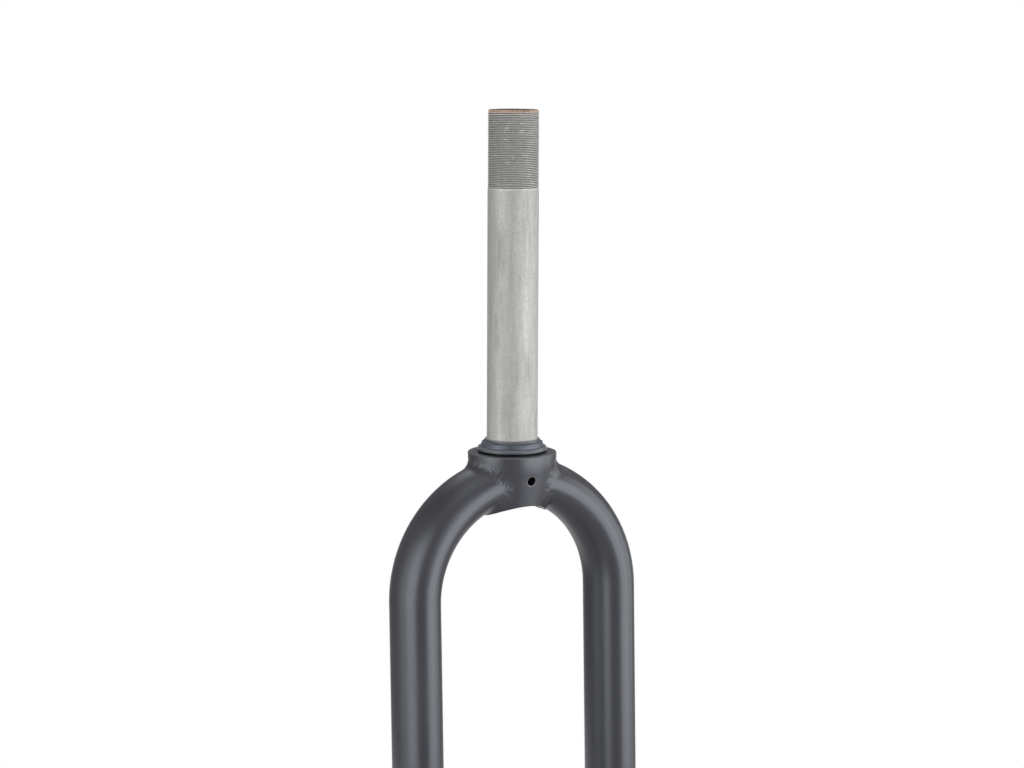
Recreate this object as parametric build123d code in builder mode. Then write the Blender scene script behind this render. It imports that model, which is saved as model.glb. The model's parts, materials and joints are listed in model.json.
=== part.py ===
from build123d import *

import os
from math import acos, cos, degrees, radians, sin

# Rigid bicycle fork: threaded steerer, tapered crown, two bent legs and forged dropouts, all welded.
# Millimetres, +Z up along the steerer. The origin is on the steerer's axis at the crown's top face,
# where the lower headset race sits. The fork faces -Y, and left and right are the rider's, left at +X.

# Steerer: 1-1/8 inch tube, threaded at the top, with a seat for the lower race at its foot
STEERER_OD = 28.6
STEERER_WALL = 1.6
STEERER_TOP = 191.3
STEERER_CHAMFER = 0.8
BORE_CHAMFER = 0.4
THREAD_LENGTH = 44.0
KEYWAY_WIDTH = 3.2
KEYWAY_DEPTH = 0.9
SEAT_STEP = 0.7
SEAT_CHAMFER = 0.6
SEAT_ABOVE_RACE = 0.3

# Crown: a collar that tapers downwards to a thin wall, arched underneath for the tyre
CROWN_COLLAR_WIDTH = 10.0
CROWN_COLLAR_HEIGHT = 5.5
CROWN_FOOT_WALL = 2.9
CROWN_DEPTH = 36.0
CROWN_RIM_FILLET = 0.8
CROWN_SHOULDER = 2.2
ARCH_DROP = 28.5
ARCH_RADIUS = 33.0
BOLT_HOLE = 5.0
BOLT_HOLE_DROP = 13.9
BOLT_HOLE_CHAMFER = 0.6

# Legs: an oval tube each, bent once and then straight, in a plane that leans forward. Its front and back
# are set in from the crown's
LEG_WIDTH = 26.4
LEG_INSET = 6.4
LEG_WALL = 1.8
LEG_SPACING = 125.0
LEG_BEND_RADIUS = 65.5
LEG_ROOT_RADIUS = 8.0
LEG_ROOT_DROP = 16.3
LEG_LENGTH = 328.7
LEG_LEAN = 2.1

# Dropouts: a plug in the leg's end that flattens into a slotted tab
HUB_SPACING = 100.0
PLUG_LENGTH = 12.0
SHOULDER = 4.0
FLATTEN_LENGTH = 20.0
TAB_THICKNESS = 6.0
TAB_WIDTH = 26.0
TAB_EDGE = 0.8
AXLE_SLOT = 10.0
AXLE_DROP = 50.0
AXLE_FORWARD = 24.0
AXLE_BOSS = 30.0

# Weld beads
CROWN_BEAD = 2.8
CROWN_BEAD_TOE = 0.6
END_BEAD_WIDTH = 5.2
END_BEAD_HEIGHT = 0.9
END_BEAD_EDGE = 0.8
STEERER_BEAD_HEIGHT = 2.4
STEERER_BEAD_LIFT = 0.6
STEERER_BEAD_INSET = 0.3

# Lower race, and the rubber seal round its foot: widths are outwards from the seat or the race's foot
RACE_LIP_WIDTH = 0.4
RACE_TRACK_WIDTH = 1.5
RACE_TRACK_HEIGHT = 1.6
RACE_TRACK_RADIUS = 3.0
RACE_SHOULDER_WIDTH = 2.0
RACE_SKIRT_WIDTH = 2.9
RACE_SKIRT_HEIGHT = 2.6
RACE_FOOT_WIDTH = 2.5
SEAL_WIDTH = 2.15
SEAL_TOP_WIDTH = 1.5
SEAL_HEIGHT = 2.3
SEAL_LIFT = 0.9
SEAL_EDGE = 0.5

# Direction, in degrees from +X, of the seams of turned pieces: clear of the legs and the bolt hole
SEAM_DIRECTION = 70.0

# Radii and heights worked out from the sizes above
steerer_r = STEERER_OD / 2
bore_r = steerer_r - STEERER_WALL
seat_r = steerer_r + SEAT_STEP
steerer_foot = -ARCH_DROP + STEERER_BEAD_HEIGHT + STEERER_BEAD_LIFT
crown_r = seat_r + CROWN_COLLAR_WIDTH
crown_foot_r = seat_r + CROWN_FOOT_WALL
crown_taper = (crown_r - crown_foot_r) / (CROWN_DEPTH - CROWN_COLLAR_HEIGHT)
envelope_top = LEG_WIDTH
envelope_depth = CROWN_DEPTH + LEG_WIDTH
envelope_foot_r = crown_r - crown_taper * (envelope_depth - CROWN_COLLAR_HEIGHT)
bead_foot_r = envelope_foot_r + CROWN_BEAD
bead_top_r = bead_foot_r + crown_taper * (envelope_depth + envelope_top)
race_foot_r = seat_r + RACE_FOOT_WIDTH
seal_top = SEAL_LIFT + SEAL_HEIGHT
race_shoulder = seal_top + RACE_SKIRT_HEIGHT
race_top = race_shoulder + RACE_TRACK_HEIGHT
seat_top = race_top + SEAT_ABOVE_RACE
leg_half = LEG_WIDTH / 2
leg_reach = crown_r - LEG_INSET
leg_bore_half = leg_half - LEG_WALL
leg_bore_reach = leg_reach - LEG_WALL
leg_x = LEG_SPACING / 2
bend_x = leg_x - LEG_BEND_RADIUS
bend_turn = acos((LEG_ROOT_RADIUS - bend_x) / LEG_BEND_RADIUS)
bend_drop = LEG_BEND_RADIUS * sin(bend_turn)
tab_x = HUB_SPACING / 2
tab_top = SHOULDER + FLATTEN_LENGTH

# Planes of the left leg: its own, its end's facing down, and the tab's facing outwards
lean = radians(LEG_LEAN)
forward = Vector(0, -cos(lean), sin(lean))
down = Vector(0, -sin(lean), -cos(lean))
leg_plane = Plane(origin=(0, 0, -LEG_ROOT_DROP), x_dir=(1, 0, 0), z_dir=forward)
end_plane = Plane(origin=leg_plane.from_local_coords((leg_x, -LEG_LENGTH, 0)), x_dir=(1, 0, 0), z_dir=down)
tab_plane = Plane(origin=end_plane.from_local_coords((tab_x - leg_x, 0, 0)), x_dir=forward, z_dir=(1, 0, 0))

# Plane of the turned pieces' profiles, and the plane that the crown's bolt passes through at a right angle
seam = radians(SEAM_DIRECTION)
turning_plane = Plane(origin=(0, 0, 0), x_dir=(cos(seam), sin(seam), 0), z_dir=(sin(seam), -cos(seam), 0))
bolt_plane = Plane(origin=(0, 0, -BOLT_HOLE_DROP), z_dir=(0, 1, 0))

# Steerer: thicker foot with the race seat, plain tube above, and a keyway down the back of the thread
with BuildPart() as steerer_tube:
    with BuildSketch(turning_plane):
        with BuildLine():
            Polyline(
                (bore_r, steerer_foot),
                (seat_r, steerer_foot),
                (seat_r, seat_top - SEAT_CHAMFER),
                (seat_r - SEAT_CHAMFER, seat_top),
                (steerer_r, seat_top),
                (steerer_r, STEERER_TOP - STEERER_CHAMFER),
                (steerer_r - STEERER_CHAMFER, STEERER_TOP),
                (bore_r + BORE_CHAMFER, STEERER_TOP),
                (bore_r, STEERER_TOP - BORE_CHAMFER),
                close=True,
            )
        make_face()
    revolve(axis=Axis.Z)
    with BuildSketch(Plane.XY.offset(STEERER_TOP)):
        with Locations((0, steerer_r)):
            Rectangle(KEYWAY_WIDTH, 2 * KEYWAY_DEPTH)
    extrude(amount=-THREAD_LENGTH, mode=Mode.SUBTRACT)
    with BuildSketch(bolt_plane):
        Circle(BOLT_HOLE / 2)
    extrude(amount=crown_r, both=True, mode=Mode.SUBTRACT)

# Crown: turned collar with an eased shoulder over the cone, bored for the steerer's foot, arched under,
# drilled front to back
with BuildPart() as crown:
    with BuildSketch(turning_plane):
        with BuildLine():
            Polyline(
                (seat_r, 0),
                (crown_r, 0),
                (crown_r, -CROWN_COLLAR_HEIGHT),
                (crown_foot_r, -CROWN_DEPTH),
                (seat_r, -CROWN_DEPTH),
                close=True,
            )
        section = make_face()
        chamfer(section.vertices().group_by(Axis.X)[-1].sort_by(Axis.Y)[0], CROWN_SHOULDER)
    revolve(axis=Axis.Z)
    fillet(crown.edges().group_by(Axis.Z)[-1].sort_by(SortBy.RADIUS)[-1], CROWN_RIM_FILLET)
    with BuildSketch(Plane.XZ):
        with Locations((0, -ARCH_DROP - ARCH_RADIUS)):
            Circle(ARCH_RADIUS)
    extrude(amount=crown_r, both=True, mode=Mode.SUBTRACT)
    with BuildSketch(bolt_plane):
        Circle(BOLT_HOLE / 2)
    extrude(amount=crown_r, both=True, mode=Mode.SUBTRACT)
    hole_edges = crown.edges(Select.LAST).group_by(Axis.Y)
    chamfer(hole_edges[0] + hole_edges[-1], BOLT_HOLE_CHAMFER)

# Lower race: pressed on the seat, a sloping skirt with a hollow ball track above its shoulder
with BuildPart() as crown_race:
    with BuildSketch(turning_plane):
        with BuildLine():
            track_edge = Polyline(
                (seat_r + RACE_LIP_WIDTH, race_top),
                (seat_r, race_top),
                (seat_r, 0),
                (race_foot_r, 0),
                (race_foot_r, seal_top),
                (seat_r + RACE_SKIRT_WIDTH, seal_top),
                (seat_r + RACE_SHOULDER_WIDTH, race_shoulder),
                (seat_r + RACE_TRACK_WIDTH, race_shoulder),
            )
            RadiusArc(track_edge @ 1, track_edge @ 0, RACE_TRACK_RADIUS)
        make_face()
    revolve(axis=Axis.Z)

# Seal: a rubber ring held on the race's foot under its skirt, lifted clear of the crown
with BuildPart() as race_seal:
    with BuildSketch(turning_plane):
        with BuildLine():
            Polyline(
                (race_foot_r, SEAL_LIFT),
                (race_foot_r + SEAL_WIDTH, SEAL_LIFT),
                (race_foot_r + SEAL_WIDTH, SEAL_LIFT + SEAL_HEIGHT / 2),
                (race_foot_r + SEAL_TOP_WIDTH, seal_top),
                (race_foot_r, seal_top),
                close=True,
            )
        ring = make_face()
        columns = ring.vertices().group_by(Axis.X)
        fillet(columns[-1] + columns[-2], SEAL_EDGE)
    revolve(axis=Axis.Z)

# The crown's outside carried on upwards and downwards, which the legs' upper ends are cut to
with BuildPart() as crown_envelope:
    with BuildSketch(turning_plane):
        with BuildLine():
            Polyline(
                (0, envelope_top),
                (crown_r, envelope_top),
                (crown_r, -CROWN_COLLAR_HEIGHT),
                (envelope_foot_r, -envelope_depth),
                (0, -envelope_depth),
                close=True,
            )
        section = make_face()
        chamfer(section.vertices().group_by(Axis.X)[-1].sort_by(Axis.Y)[0], CROWN_SHOULDER)
    revolve(axis=Axis.Z)

# Leg centreline, from its root inside the crown round the bend and down to the dropout
with BuildLine(leg_plane) as leg_line:
    bend = CenterArc((bend_x, -bend_drop), LEG_BEND_RADIUS, degrees(bend_turn), -degrees(bend_turn))
    Line(bend @ 1, (leg_x, -LEG_LENGTH))
root_plane = Plane(origin=leg_line.line @ 0, x_dir=forward, z_dir=leg_line.line % 0)

# Left leg: a bent oval tube, its upper end cut to the crown's outside
with BuildPart() as left_leg:
    with BuildSketch(root_plane):
        Ellipse(leg_reach, leg_half)
        Ellipse(leg_bore_reach, leg_bore_half, mode=Mode.SUBTRACT)
    sweep(path=leg_line.line)
    add(crown_envelope.part, mode=Mode.SUBTRACT)

# The leg's bend as a solid bar, which the bead is laid round
with BuildPart() as leg_bar:
    with BuildSketch(root_plane):
        Ellipse(leg_reach, leg_half)
    sweep(path=bend)

# Weld bead of leg and crown: a ring of what lies within a bead's width of both, with its outer edge cut flat
with BuildPart() as left_crown_weld:
    with BuildSketch(root_plane):
        Ellipse(leg_reach + CROWN_BEAD, leg_half + CROWN_BEAD)
    sweep(path=bend)
    with BuildSketch(turning_plane):
        with BuildLine():
            Polyline(
                (0, envelope_top),
                (bead_top_r, envelope_top),
                (bead_foot_r, -envelope_depth),
                (0, -envelope_depth),
                close=True,
            )
        make_face()
    revolve(axis=Axis.Z, mode=Mode.INTERSECT)
    chamfer(left_crown_weld.edges().filter_by(GeomType.BSPLINE), CROWN_BEAD - CROWN_BEAD_TOE)
    add(crown_envelope.part, mode=Mode.SUBTRACT)
    add(leg_bar.part, mode=Mode.SUBTRACT)

# Left dropout: plug, shoulder, and a forging that flattens into a tab with a slot for the axle
with BuildPart() as left_dropout:
    with BuildSketch(end_plane):
        Ellipse(leg_bore_half, leg_bore_reach)
    extrude(amount=-PLUG_LENGTH)
    with BuildSketch(end_plane):
        Ellipse(leg_half, leg_reach)
    extrude(amount=SHOULDER)
    with BuildSketch(end_plane.offset(SHOULDER)):
        Ellipse(leg_half, leg_reach)
    with BuildSketch(end_plane.offset(tab_top)):
        with Locations((tab_x + TAB_THICKNESS / 2 - leg_x, 0)):
            Rectangle(TAB_THICKNESS, TAB_WIDTH)
    loft()
    with BuildSketch(tab_plane):
        with BuildLine():
            Line((-TAB_WIDTH / 2, tab_top), (TAB_WIDTH / 2, tab_top))
            CenterArc((AXLE_FORWARD, AXLE_DROP), AXLE_BOSS / 2, 0, 360)
        make_hull()
        with Locations((AXLE_FORWARD, AXLE_DROP)):
            Circle(AXLE_SLOT / 2, mode=Mode.SUBTRACT)
            Rectangle(AXLE_SLOT, AXLE_BOSS, align=(Align.CENTER, Align.MIN), mode=Mode.SUBTRACT)
    extrude(amount=TAB_THICKNESS)
    tab_edges = left_dropout.faces().filter_by(Axis.X).edges()
    loft_end = tab_top + TAB_EDGE
    fillet(tab_edges.filter_by(lambda edge: tab_plane.to_local_coords(edge.center()).Y > loft_end), TAB_EDGE)

# Weld bead of leg and dropout: a low band with rounded edges round their joint
with BuildPart() as left_dropout_weld:
    with BuildSketch(end_plane.offset(-END_BEAD_WIDTH / 2)):
        Ellipse(leg_half + END_BEAD_HEIGHT, leg_reach + END_BEAD_HEIGHT)
    extrude(amount=END_BEAD_WIDTH)
    fillet(left_dropout_weld.edges().filter_by(GeomType.ELLIPSE), END_BEAD_EDGE)
    with BuildSketch(end_plane.offset(-END_BEAD_WIDTH / 2)):
        Ellipse(leg_half, leg_reach)
    extrude(amount=END_BEAD_WIDTH, mode=Mode.SUBTRACT)

# Weld bead of steerer and crown: a fillet in the crown's bore, under the steerer's foot
with BuildPart() as steerer_weld:
    with BuildSketch(turning_plane):
        with BuildLine():
            Polyline(
                (seat_r, steerer_foot),
                (bore_r + STEERER_BEAD_INSET, steerer_foot),
                (seat_r, steerer_foot - STEERER_BEAD_HEIGHT),
                close=True,
            )
        make_face()
    revolve(axis=Axis.Z)

# The right side is the left side mirrored
with BuildPart() as right_leg:
    mirror(left_leg.part, about=Plane.YZ)
with BuildPart() as right_crown_weld:
    mirror(left_crown_weld.part, about=Plane.YZ)
with BuildPart() as right_dropout:
    mirror(left_dropout.part, about=Plane.YZ)
with BuildPart() as right_dropout_weld:
    mirror(left_dropout_weld.part, about=Plane.YZ)

pieces = {
    "steerer_tube": steerer_tube,
    "crown": crown,
    "crown_race": crown_race,
    "race_seal": race_seal,
    "left_leg": left_leg,
    "right_leg": right_leg,
    "left_crown_weld": left_crown_weld,
    "right_crown_weld": right_crown_weld,
    "left_dropout": left_dropout,
    "right_dropout": right_dropout,
    "left_dropout_weld": left_dropout_weld,
    "right_dropout_weld": right_dropout_weld,
    "steerer_weld": steerer_weld,
}

os.makedirs("parts", exist_ok=True)
for name, piece in pieces.items():
    piece.part.label = name
    export_step(piece.part, f"parts/{name}.step")
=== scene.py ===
import json
from math import acos, atan2, cos, hypot, pi, radians, sin, sqrt, tau

import bmesh
import bpy
import numpy as np
from mathutils import Matrix, Vector, noise


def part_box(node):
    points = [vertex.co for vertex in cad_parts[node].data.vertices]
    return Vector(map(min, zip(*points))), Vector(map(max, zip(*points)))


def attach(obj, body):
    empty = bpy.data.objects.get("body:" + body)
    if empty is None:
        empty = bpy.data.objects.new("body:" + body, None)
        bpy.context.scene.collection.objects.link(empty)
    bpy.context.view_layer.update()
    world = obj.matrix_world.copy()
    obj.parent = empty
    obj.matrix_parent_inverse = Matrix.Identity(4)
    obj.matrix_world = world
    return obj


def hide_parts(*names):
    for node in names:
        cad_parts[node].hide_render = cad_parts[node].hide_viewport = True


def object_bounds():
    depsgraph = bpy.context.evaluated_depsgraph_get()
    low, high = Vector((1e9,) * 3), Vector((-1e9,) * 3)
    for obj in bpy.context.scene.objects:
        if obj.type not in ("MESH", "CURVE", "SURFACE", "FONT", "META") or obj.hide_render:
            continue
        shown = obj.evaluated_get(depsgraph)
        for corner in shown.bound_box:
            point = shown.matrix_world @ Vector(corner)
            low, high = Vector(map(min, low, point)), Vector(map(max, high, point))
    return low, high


# Rigid bicycle fork in metres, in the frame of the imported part: +Z up along the steerer, and the
# fork faces -Y
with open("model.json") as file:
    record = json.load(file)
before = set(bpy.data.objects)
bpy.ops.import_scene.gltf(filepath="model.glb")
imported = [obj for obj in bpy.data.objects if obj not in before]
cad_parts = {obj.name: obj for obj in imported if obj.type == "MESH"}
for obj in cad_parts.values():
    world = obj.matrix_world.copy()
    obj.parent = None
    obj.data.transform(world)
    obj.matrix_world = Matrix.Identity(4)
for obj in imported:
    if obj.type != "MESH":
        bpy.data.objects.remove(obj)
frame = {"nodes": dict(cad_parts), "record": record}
cad_low, cad_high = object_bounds()
mounts = {mount["name"]: mount for mount in frame["record"]["mounts"]}
MM = 0.001

# Steerer and thread: 26 turns to the inch, cut with a 60 degree tool
STEERER_R = mounts["steerer"]["dims"]["r_mm"] * MM
BORE_R = mounts["stem_bore"]["dims"]["r_mm"] * MM
STEERER_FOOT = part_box("steerer_tube")[0].z
STEERER_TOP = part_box("steerer_tube")[1].z
SEAT_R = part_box("steerer_tube")[1].x
RACE_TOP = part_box("crown_race")[1].z
SEAT_TOP = RACE_TOP + 0.3 * MM
SEAT_CHAMFER = 0.6 * MM
RIM_CHAMFER = 0.8 * MM
BORE_CHAMFER = 0.4 * MM
THREAD_LENGTH = 44.0 * MM
THREAD_PITCH = 25.4 / 26 * MM
THREAD_DEPTH = 0.58 * MM
THREAD_RUNOUT = 1.4 * MM
THREAD_FOOT = STEERER_TOP - THREAD_LENGTH
# Height of the crest under the rim that gets the brightest painted highlight
FIRST_CREST = STEERER_TOP - 2.7 * MM
KEYWAY_WIDTH = 3.2 * MM
KEYWAY_DEPTH = 0.9 * MM
KEYWAY_TURN = pi / 2
# Shares of the pitch, each with the share of the thread's depth there
THREAD_PROFILE = ((0.0, 0.0), (0.07, 0.0), (0.45, 0.92), (0.5, 1.0), (0.55, 0.92), (0.93, 0.0))
TUBE_COLUMNS = 132
# A column this share of the spacing from the keyway, or nearer, makes way for the keyway's own
COLUMN_ROOM = 0.3

# Lower race and seal: the race's widths are beyond the seat's radius
RACE_LIP = 0.4 * MM
RACE_COVE = 0.8 * MM
RACE_COVE_RISE = 0.45 * MM
RACE_STEP = 1.5 * MM
RACE_FLANK_TOP = 2.0 * MM
RACE_FLANK_FOOT = 2.9 * MM
RACE_SHOULDER = RACE_TOP - 1.6 * MM
RACE_FOOT_R = SEAT_R + 2.5 * MM
SEAL_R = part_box("race_seal")[1].x
SEAL_TOP_R = RACE_FOOT_R + 1.5 * MM
SEAL_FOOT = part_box("race_seal")[0].z
SEAL_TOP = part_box("race_seal")[1].z
SEAL_MIDDLE = (SEAL_FOOT + SEAL_TOP) / 2

# Crown
CROWN_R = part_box("crown")[1].x
CROWN_COLLAR = 5.5 * MM
CROWN_DEPTH = 36.0 * MM
CROWN_FOOT_R = SEAT_R + 2.9 * MM
CROWN_RIM = 0.9 * MM
CROWN_SHOULDER = 4.4 * MM
CROWN_SLOPE_REACH = 0.3 * MM
ARCH_DROP = 28.5 * MM
ARCH_RADIUS = 33.0 * MM
ARCH_CENTRE = -ARCH_DROP - ARCH_RADIUS
BOLT_HOLE_R = mounts["mudguard_bolt"]["dims"]["r_mm"] * MM
BOLT_HOLE_DROP = -mounts["mudguard_bolt"]["pos_m"][2]
BOLT_HOLE_CHAMFER = 0.6 * MM
BOLT_HOLE_FLARE = BOLT_HOLE_R + BOLT_HOLE_CHAMFER
# The hole's rounded edge: how far out from the hole and how far in, as shares of the chamfer
BOLT_HOLE_EDGE = ((1.0, 0.0), (0.75, 0.15), (0.15, 0.75), (0.0, 1.1))
DRILL_PROUD = 2.0 * MM

# Legs: the oval's half widths across the fork and fore and aft, then the bend of its middle line
LEG_HALF = 13.2 * MM
LEG_REACH = 18.6 * MM
LEG_X = 62.5 * MM
LEG_BEND = 65.5 * MM
LEG_ROOT_X = 8.0 * MM
LEG_ROOT_DROP = 16.3 * MM
LEG_LENGTH = 328.7 * MM
LEG_LEAN = radians(2.1)
BEND_X = LEG_X - LEG_BEND
BEND_TURN = acos((LEG_ROOT_X - BEND_X) / LEG_BEND)
BEND_DROP = LEG_BEND * sin(BEND_TURN)
LEG_ORIGIN = Vector((0, 0, -LEG_ROOT_DROP))
LEG_OUT = Vector((1, 0, 0))
LEG_UP = Vector((0, sin(LEG_LEAN), cos(LEG_LEAN)))
LEG_FORWARD = Vector((0, -cos(LEG_LEAN), sin(LEG_LEAN)))

# Weld beads at the crown
BEAD_ON_CROWN = 4.6 * MM
BEAD_ON_LEG = 4.8 * MM
BEAD_FILL = 0.35 * MM
BEAD_ROOT = 0.5 * MM
BEAD_SINK = 0.04 * MM
BEAD_STEP = 0.2 * MM
BEAD_ACROSS = 14
BEAD_END_EASE = 4.0 * MM
BEAD_END_SHARE = 0.45
BEAD_RIPPLE = 1.4 * MM
BEAD_RIPPLE_HEIGHT = 0.19 * MM
BEAD_RIPPLE_BOW = 0.5
BEAD_RIPPLED_DROP = 9.0 * MM
BEAD_SMOOTH_DROP = 16.0 * MM
BEAD_SMOOTH_SHARE = 0.25
BEAD_LUMP_HEIGHT = 0.17 * MM
LEFT_BEAD_SWELL = 0.32 * MM
RIGHT_BEAD_SWELL = 0.12 * MM
JOINT_SAMPLES = 600
# Share of the bend at which the search for the joint starts, and halvings of a search's range
JOINT_SEARCH = 0.4
HALVINGS = 40
# Unevenness of these beads: the noise's own place, then features to the metre, and size
BEAD_SEED = (17.3, 4.1, 9.7)
WANDER_SCALE, WANDER = 260, 0.5
FOOT_SCALE, FOOT_SHIFT = 300, 0.1
FOOT_OFFSET = Vector((5, 5, 5))
EDGE_SCALE, EDGE_SHIFT = 900, 0.04
PATCH_SCALE, PATCH_SHARE = 190, 0.7
LUMP_SCALE, LUMP_ACROSS = 760, 6
SWELL_SCALE, SWELL_ACROSS = 340, 2

# Weld beads at the dropouts and under the steerer
END_BEAD_WIDTH = 5.2 * MM
END_BEAD_HEIGHT = 0.738 * MM
END_BEAD_SINK = 0.05 * MM
END_BEAD_ROOT = 0.6 * MM
END_BEAD_RIPPLE_HEIGHT = 0.13 * MM
END_BEAD_RIPPLE_POWER = 0.7
END_BEAD_RIPPLE_MEAN = 0.75
END_BEAD_RIPPLE_BOW = 0.5
END_BEAD_LUMPS = 0.4
END_BEAD_LUMP_TURNS = 4
END_BEAD_SEED = 7.0
END_BEAD_ACROSS = 10
END_BEAD_COLUMNS = 400
STEERER_BEAD_HEIGHT = 2.4 * MM
STEERER_BEAD_INSET = 0.3 * MM
STEERER_BEAD_RIPPLE_HEIGHT = 0.18 * MM
STEERER_BEAD_RIPPLE_BOW = 0.4
STEERER_BEAD_ACROSS = 8
STEERER_BEAD_COLUMNS = 320

# Fineness of the meshes, and the angle in degrees over which an edge is sharp
TURNED_COLUMNS = 160
CROWN_COLUMNS = 192
ARCH_COLUMNS = 240
BOLT_COLUMNS = 48
DRILL_COLUMNS = 40
FLOOR_COLUMNS = 96
ROUND_STEPS = 5
CROWN_ROUND_STEPS = 12
MERGE_DISTANCE = 2e-6
SMALLEST_EDGE = 1e-7
STEERER_SHARP = 35
RACE_SHARP = 50
SEAL_SHARP = 60
CROWN_SHARP = 30
BEAD_SHARP = 70

# Colours: linear red, green and blue, and alpha
BLACK = (0.006, 0.006, 0.007, 1)
WHITE = (1, 1, 1, 1)
PAINT_DEEP = (0.0335, 0.031, 0.039, 1)
PAINT_PALE = (0.041, 0.0385, 0.0465, 1)
PAINT_SPECK = (0.06, 0.06, 0.066, 1)
PAINT_HOLE_HIGHLIGHT = (0.24, 0.24, 0.25, 1)
PAINT_RIM_HIGHLIGHT = (0.16, 0.16, 0.168, 1)
PAINT_GLOSS = (0.86, 0.945, 1.0, 1)
STEEL_DEEP = (0.388, 0.387, 0.363, 1)
STEEL_PALE = (0.472, 0.472, 0.450, 1)
STEEL_BLOTCH = (0.335, 0.332, 0.308, 1)
STEEL_HATCH = (0.495, 0.495, 0.475, 1)
STEEL_PIT = (0.29, 0.287, 0.268, 1)
STEEL_ROOT_SHADE = (0.155, 0.152, 0.144, 1)
STEEL_GLINT = (0.88, 0.88, 0.86, 1)
STEEL_RUST = (0.68, 0.45, 0.32, 1)
STEEL_BORE = (0.16, 0.13, 0.11, 1)
RACE_DEEP = (0.085, 0.095, 0.115, 1)
RACE_PALE = (0.125, 0.138, 0.165, 1)
RACE_WORN = (0.19, 0.195, 0.205, 1)
RUBBER_DEEP = (0.062, 0.070, 0.084, 1)
RUBBER_PALE = (0.097, 0.108, 0.128, 1)
RUBBER_HIGHLIGHT = (0.15, 0.163, 0.185, 1)
FLOOR_DEEP = (0.5, 0.5, 0.5, 1)
FLOOR_PALE = (0.54, 0.54, 0.54, 1)
STUDIO_GREY = (0.2, 0.2, 0.203, 1)
# The part of a noise's range that most of it lies in
MID_NOISE = (0.3, 0.7)

# Camera: degrees round from the fork's front, and the photograph's own roll
CAMERA_AZIMUTH = radians(-29.0)
CAMERA_DISTANCE = 1.5
CAMERA_HEIGHT = 0.2454
CAMERA_AIM = Vector((-0.0002, 0.00011, 0.038))
CAMERA_LENS = 94.94
CAMERA_SENSOR = 36.0
CAMERA_ROLL = radians(0.25)
CAMERA_CLIP = (0.05, 50.0)

# Softboxes: degrees to the camera's right and up, distance, width, height and radiance
LIGHT_AIM = Vector((0, 0, -0.02))
SOFTBOXES = {
    "left_box": (-53, 5, 1.5, 1.05, 1.6, 2.65),
    "left_back_box": (-86, 0, 1.5, 0.55, 1.4, 0.95),
    "right_box": (60, 0, 1.5, 1.75, 1.5, 2.85),
    "right_back_box": (108, 8, 1.5, 0.7, 1.45, 1.8),
    "front_box": (20, 24, 1.5, 0.5, 1.2, 0.9),
    "top_box": (0, 80, 1.6, 1.2, 1.2, 0.8),
    "behind_box": (176, 48, 1.6, 1.6, 1.0, 1.3),
}

# Floor: how white it looks at two distances out, and where it turns white towards the backdrop
FLOOR_RADIUS = 0.8
FLOOR_FADE = (0.25 * FLOOR_RADIUS, 0.95 * FLOOR_RADIUS)
FLOOR_WHITE = (0.62, 1.0)
FLOOR_SWEEP = (0.3 * FLOOR_RADIUS, 0.5 * FLOOR_RADIUS)
# Backdrop: degrees each side of straight behind the fork, top over the horizon, and soft edges
BACKDROP_HALF = 24.0
BACKDROP_HALF_SOFT = 6.0
BACKDROP_TOP = 0.0
BACKDROP_TOP_SOFT = 4.0


# Mesh pieces


def mesh_piece(name, node, slot, points, faces, sharp):
    """A piece that stands for a node, from points and faces, with coincident points merged."""
    mesh = bpy.data.meshes.new(name)
    mesh.from_pydata([tuple(p) for p in points], [], faces)
    work = bmesh.new()
    work.from_mesh(mesh)
    bmesh.ops.remove_doubles(work, verts=work.verts, dist=MERGE_DISTANCE)
    bmesh.ops.dissolve_degenerate(work, edges=work.edges, dist=SMALLEST_EDGE)
    bmesh.ops.recalc_face_normals(work, faces=work.faces)
    work.to_mesh(mesh)
    work.free()
    mesh.shade_smooth()
    mesh.set_sharp_from_angle(angle=radians(sharp))
    piece = bpy.data.objects.new(name, mesh)
    bpy.context.scene.collection.objects.link(piece)
    piece.data.materials.append(finishes[slot])
    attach(piece, "root")
    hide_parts(node)
    return piece


def rounded(corners, steps=ROUND_STEPS):
    """A closed profile from (radius, height, rounding) corners, rounded by quadratic curves."""
    places = [Vector((r, z)) for r, z, _ in corners]
    points = []
    for i, (_, _, reach) in enumerate(corners):
        here = places[i]
        if reach == 0:
            points.append(here)
            continue
        before = here + (places[i - 1] - here).normalized() * reach
        after = here + (places[(i + 1) % len(places)] - here).normalized() * reach
        for k in range(steps + 1):
            t = k / steps
            points.append(before * (1 - t) ** 2 + here * 2 * t * (1 - t) + after * t * t)
    return points


def turned(profile, columns=TURNED_COLUMNS, lift=None):
    """Points and faces of a closed (radius, height) profile turned about Z.

    lift gives how far out a point of the profile moves at a turn.
    """
    rows = len(profile)
    points = []
    for j in range(columns):
        turn = tau * j / columns
        for i, (r, z) in enumerate(profile):
            out = r + (lift(turn, i) if lift else 0.0)
            points.append(Vector((out * cos(turn), out * sin(turn), z)))
    faces = []
    for j in range(columns):
        a, b = j * rows, (j + 1) % columns * rows
        for i in range(rows):
            k = (i + 1) % rows
            faces.append((a + i, b + i, b + k, a + k))
    return points, faces


def cut_away(piece, name, points, faces):
    """Takes a solid of the given points and faces away from a piece."""
    mesh = bpy.data.meshes.new(name)
    mesh.from_pydata([tuple(p) for p in points], [], faces)
    work = bmesh.new()
    work.from_mesh(mesh)
    bmesh.ops.recalc_face_normals(work, faces=work.faces)
    work.to_mesh(mesh)
    work.free()
    cutter = bpy.data.objects.new(name, mesh)
    bpy.context.scene.collection.objects.link(cutter)
    cut = piece.modifiers.new(name, "BOOLEAN")
    cut.object = cutter
    cut.solver = "EXACT"
    evaluated = piece.evaluated_get(bpy.context.evaluated_depsgraph_get())
    shaped = bpy.data.meshes.new_from_object(evaluated)
    piece.modifiers.clear()
    piece.data = shaped
    bpy.data.objects.remove(cutter)


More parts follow.
